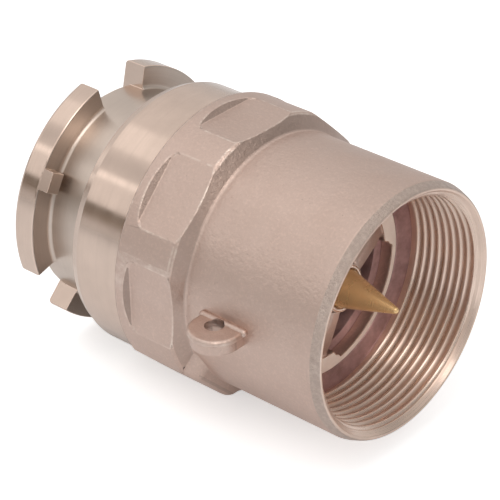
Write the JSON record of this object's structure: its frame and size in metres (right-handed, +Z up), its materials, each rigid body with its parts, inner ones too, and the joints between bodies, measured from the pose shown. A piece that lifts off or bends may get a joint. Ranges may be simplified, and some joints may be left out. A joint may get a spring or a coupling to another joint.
{
  "type": "dry break coupling",
  "caption": "Dry break coupling, tank side: cast body with pipe thread, wrench flats and chain ear, machined bayonet nose, and a spring-loaded poppet on a guided stem.",
  "frame": {"origin": "centre of the pipe thread's mouth", "axes": "+X along the bore, out of the pipe thread's mouth; +Z up, square to one wrench flat; the chain ear points along -Y"},
  "size_m": [0.1434, 0.1162, 0.1076],
  "materials": {
    "cast_steel": "investment cast and bead blasted, satin, warm grey",
    "machined_steel": "turned bright, fine tool rings",
    "guide_steel": "cast, faced on the front",
    "spring_steel": "drawn wire, satin",
    "stem_brass": "turned, satin",
    "bush_plastic": "filled plain-bearing plastic",
    "seal_rubber": "black elastomer, matt"
  },
  "bodies": {
    "body": {"body_casting": "cast_steel", "bayonet_nose": "machined_steel", "body_o_ring": "seal_rubber", "stem_guide": "guide_steel", "guide_bush": "bush_plastic", "bush_clip": "spring_steel", "front_spring_seat": "machined_steel", "main_spring": "spring_steel"},
    "poppet": {"poppet": "machined_steel", "stem": "stem_brass", "rear_spring_seat": "machined_steel", "stop_sleeve": "machined_steel", "stem_o_ring": "seal_rubber", "lock_washer": "spring_steel", "stem_nut": "spring_steel", "poppet_seal": "seal_rubber", "seal_retainer": "machined_steel", "retainer_screws": "spring_steel"}
  },
  "joints": [
    {"name": "poppet_slide", "type": "slide", "parent": "body", "child": "poppet", "axis": [1, 0, 0], "range_m": [0, 0.02], "stiffness_N_per_m": 3000, "springref_m": -0.02, "deforming": ["main_spring"]}
  ]
}
